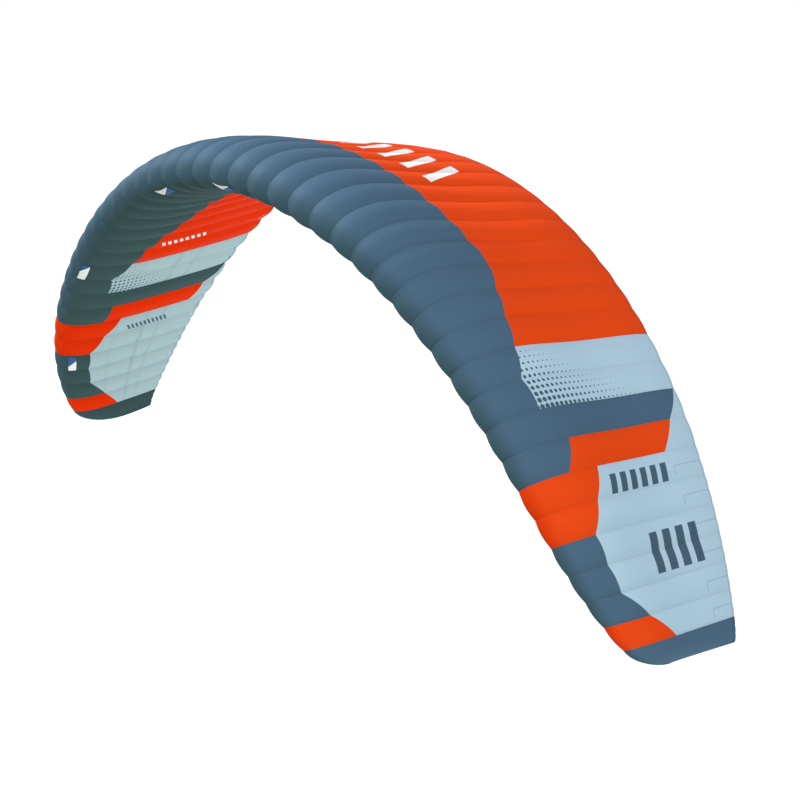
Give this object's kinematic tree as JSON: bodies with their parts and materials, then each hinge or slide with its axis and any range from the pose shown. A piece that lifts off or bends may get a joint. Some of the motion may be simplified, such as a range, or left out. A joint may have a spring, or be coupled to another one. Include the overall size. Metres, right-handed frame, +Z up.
{
  "type": "foil kite",
  "caption": "Arched soft wing of air-filled cells, with a rounded nose, a thin scalloped trailing edge and rounded tips.",
  "frame": {"origin": "on the crest of the middle cell's lower skin, at 30 percent of its chord, where the bridle pulls", "axes": "+X along the span towards the tip with cell_45, +Y from the nose to the trailing edge, +Z up, out of the top skin"},
  "size_m": [4.7872, 1.3475, 1.9903],
  "materials": {
    "slate_cloth": "coated ripstop, satin",
    "orange_cloth": "coated ripstop, satin",
    "pale_cloth": "coated ripstop, satin",
    "valve_cloth": "coated ripstop, satin"
  },
  "bodies": {
    "root": {"cell_01": "slate_cloth", "cell_02": "orange_cloth", "cell_03": "pale_cloth", "cell_04": "pale_cloth", "cell_05": "pale_cloth", "inlet_1": "valve_cloth", "cell_06": "pale_cloth", "cell_07": "orange_cloth", "cell_08": "orange_cloth", "cell_09": "slate_cloth", "cell_10": "pale_cloth", "cell_11": "pale_cloth", "inlet_2": "valve_cloth", "cell_12": "orange_cloth", "cell_13": "orange_cloth", "cell_14": "orange_cloth", "cell_15": "orange_cloth", "cell_16": "orange_cloth", "cell_17": "orange_cloth", "cell_18": "orange_cloth", "cell_19": "orange_cloth", "inlet_3": "valve_cloth", "cell_20": "orange_cloth", "cell_21": "orange_cloth", "cell_22": "orange_cloth", "cell_23": "orange_cloth", "inlet_4": "valve_cloth", "cell_24": "orange_cloth", "cell_25": "orange_cloth", "cell_26": "orange_cloth", "cell_27": "orange_cloth", "inlet_5": "valve_cloth", "cell_28": "orange_cloth", "cell_29": "orange_cloth", "cell_30": "orange_cloth", "cell_31": "orange_cloth", "cell_32": "orange_cloth", "cell_33": "orange_cloth", "cell_34": "orange_cloth", "cell_35": "pale_cloth", "inlet_6": "valve_cloth", "cell_36": "pale_cloth", "cell_37": "slate_cloth", "cell_38": "orange_cloth", "cell_39": "orange_cloth", "cell_40": "pale_cloth", "cell_41": "pale_cloth", "inlet_7": "valve_cloth", "cell_42": "pale_cloth", "cell_43": "pale_cloth", "cell_44": "orange_cloth", "cell_45": "slate_cloth"}
  },
  "joints": []
}
